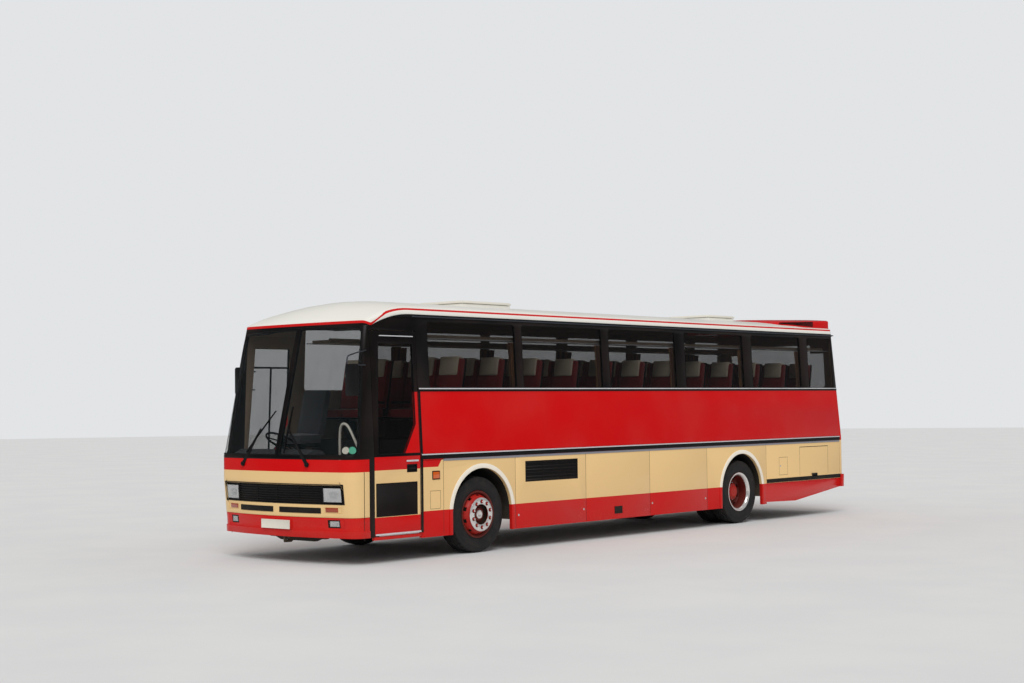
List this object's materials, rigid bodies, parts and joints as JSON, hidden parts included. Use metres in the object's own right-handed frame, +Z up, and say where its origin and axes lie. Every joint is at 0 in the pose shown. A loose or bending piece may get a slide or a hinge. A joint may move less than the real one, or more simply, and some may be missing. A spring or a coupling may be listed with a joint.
{
  "type": "coach bus",
  "caption": "Single-deck touring coach with a front entry door, side lockers, sealed saloon windows, roof hatches, steered front wheels and twin rear wheels.",
  "frame": {"origin": "on the ground under the middle of the coach", "axes": "+X to the nearside, where the entry door is, +Y to the rear, +Z up"},
  "size_m": [2.94, 11.86, 3.372],
  "materials": {
    "cream_red_paint": "gloss two-tone coachwork paint",
    "red_paint": "gloss coachwork paint",
    "white_paint": "gloss coachwork paint",
    "black_gloss": "black gloss surround",
    "glass": "tinted laminated glass",
    "lamp_glass": "fluted clear lamp glass",
    "amber_lamp": "moulded lens",
    "red_lamp": "moulded lens",
    "bright_trim": "bright anodised strip with black rubber",
    "black_plastic": "black moulded plastic",
    "grey_lining": "interior lining",
    "floor_sheet": "ribbed floor covering",
    "red_moquette": "woven pile",
    "curtain_cloth": "pleated cloth",
    "chassis_black": "chassis paint",
    "engine_grey": "oily cast iron",
    "wheel_red": "painted steel",
    "tyre": "black rubber"
  },
  "bodies": {
    "coach": {"aircon_pod": "white_paint", "arch_liners": "black_plastic", "cab_side": "cream_red_paint", "chassis_frame": "chassis_black", "curtains": "curtain_cloth", "dashboard": "black_plastic", "driver_seat": "red_moquette", "engine": "engine_grey", "front_axle": "chassis_black", "front_bumper": "red_paint", "front_grille": "black_gloss", "front_mask": "cream_red_paint", "headlamps": "lamp_glass", "luggage_bay": "floor_sheet", "luggage_racks": "grey_lining", "mirrors": "black_plastic", "rear_axle": "chassis_black", "rear_bumper": "red_paint", "rear_lamps": "red_lamp", "rear_locker": "floor_sheet", "rear_wall": "cream_red_paint", "rear_window": "glass", "roof": "white_paint", "saloon_floor": "floor_sheet", "seats": "red_moquette", "side_glass": "glass", "side_trims": "bright_trim", "signal_lamps": "amber_lamp", "skirt_panels": "cream_red_paint", "steering_wheel": "black_plastic", "towing_eyes": "chassis_black", "waist_panels": "red_paint", "window_frames": "black_gloss", "windscreen": "glass", "windscreen_frame": "black_gloss", "wipers": "black_plastic"},
    "knuckle_left": {"knuckle_left": "chassis_black"},
    "knuckle_right": {"knuckle_right": "chassis_black"},
    "front_wheel_left": {"front_wheel_left": "wheel_red", "front_tyre_left": "tyre"},
    "front_wheel_right": {"front_wheel_right": "wheel_red", "front_tyre_right": "tyre"},
    "rear_wheels_left": {"rear_wheel_left": "wheel_red", "rear_tyres_left": "tyre"},
    "rear_wheels_right": {"rear_wheel_right": "wheel_red", "rear_tyres_right": "tyre"},
    "entry_door": {"entry_door": "cream_red_paint", "entry_door_glass": "glass"},
    "boot_lid": {"boot_lid": "cream_red_paint"},
    "front_hatch": {"front_hatch": "white_paint"},
    "rear_hatch": {"rear_hatch": "white_paint"},
    "vent_flap_left": {"vent_flap_left": "cream_red_paint"},
    "vent_flap_right": {"vent_flap_right": "cream_red_paint"},
    "locker_flap_front_left": {"locker_flap_front_left": "cream_red_paint"},
    "locker_flap_front_right": {"locker_flap_front_right": "cream_red_paint"},
    "locker_flap_mid_left": {"locker_flap_mid_left": "cream_red_paint"},
    "locker_flap_mid_right": {"locker_flap_mid_right": "cream_red_paint"},
    "rear_flap_left": {"rear_flap_left": "cream_red_paint"},
    "rear_flap_right": {"rear_flap_right": "cream_red_paint"}
  },
  "joints": [
    {"name": "steer_left", "type": "hinge", "parent": "coach", "child": "knuckle_left", "pos_m": [0.98, -3.48, 0.5], "axis": [0, 0, 1], "range_deg": [-38, 38]},
    {"name": "steer_right", "type": "hinge", "parent": "coach", "child": "knuckle_right", "pos_m": [-0.98, -3.48, 0.5], "axis": [0, 0, 1], "range_deg": [-38, 38]},
    {"name": "spin_front_left", "type": "hinge", "parent": "knuckle_left", "child": "front_wheel_left", "pos_m": [1.06, -3.48, 0.5], "axis": [1, 0, 0], "continuous": true},
    {"name": "spin_front_right", "type": "hinge", "parent": "knuckle_right", "child": "front_wheel_right", "pos_m": [-1.06, -3.48, 0.5], "axis": [1, 0, 0], "continuous": true},
    {"name": "spin_rear_left", "type": "hinge", "parent": "coach", "child": "rear_wheels_left", "pos_m": [0.9, 2.69, 0.5], "axis": [1, 0, 0], "continuous": true},
    {"name": "spin_rear_right", "type": "hinge", "parent": "coach", "child": "rear_wheels_right", "pos_m": [-0.9, 2.69, 0.5], "axis": [1, 0, 0], "continuous": true},
    {"name": "door_swing", "type": "hinge", "parent": "coach", "child": "entry_door", "pos_m": [1.254, -5.408, 0.35], "axis": [0, 0, -1], "range_deg": [0, 88]},
    {"name": "boot_swing", "type": "hinge", "parent": "coach", "child": "boot_lid", "pos_m": [0, 5.902, 1.236], "axis": [1, 0, 0], "range_deg": [0, 85]},
    {"name": "front_hatch_tilt", "type": "hinge", "parent": "coach", "child": "front_hatch", "pos_m": [0, -1.879, 3.338], "axis": [-1, 0, 0], "range_deg": [0, 30]},
    {"name": "rear_hatch_tilt", "type": "hinge", "parent": "coach", "child": "rear_hatch", "pos_m": [0, 3.821, 3.338], "axis": [-1, 0, 0], "range_deg": [0, 30]},
    {"name": "vent_flap_left_swing", "type": "hinge", "parent": "coach", "child": "vent_flap_left", "pos_m": [1.252, -2.045, 1.236], "axis": [0, -1, 0], "range_deg": [0, 85]},
    {"name": "vent_flap_right_swing", "type": "hinge", "parent": "coach", "child": "vent_flap_right", "pos_m": [-1.252, -2.045, 1.236], "axis": [0, 1, 0], "range_deg": [0, 85]},
    {"name": "locker_flap_front_left_swing", "type": "hinge", "parent": "coach", "child": "locker_flap_front_left", "pos_m": [1.252, -0.535, 1.236], "axis": [0, -1, 0], "range_deg": [0, 85]},
    {"name": "locker_flap_front_right_swing", "type": "hinge", "parent": "coach", "child": "locker_flap_front_right", "pos_m": [-1.252, -0.535, 1.236], "axis": [0, 1, 0], "range_deg": [0, 85]},
    {"name": "locker_flap_mid_left_swing", "type": "hinge", "parent": "coach", "child": "locker_flap_mid_left", "pos_m": [1.252, 0.965, 1.236], "axis": [0, -1, 0], "range_deg": [0, 85]},
    {"name": "locker_flap_mid_right_swing", "type": "hinge", "parent": "coach", "child": "locker_flap_mid_right", "pos_m": [-1.252, 0.965, 1.236], "axis": [0, 1, 0], "range_deg": [0, 85]},
    {"name": "rear_flap_left_swing", "type": "hinge", "parent": "coach", "child": "rear_flap_left", "pos_m": [1.252, 4.574, 1.236], "axis": [0, -1, 0], "range_deg": [0, 85]},
    {"name": "rear_flap_right_swing", "type": "hinge", "parent": "coach", "child": "rear_flap_right", "pos_m": [-1.252, 4.574, 1.236], "axis": [0, 1, 0], "range_deg": [0, 85]}
  ],
  "couplings": [
    {"joint": "steer_right", "follows": "steer_left", "ratio": 1}
  ]
}
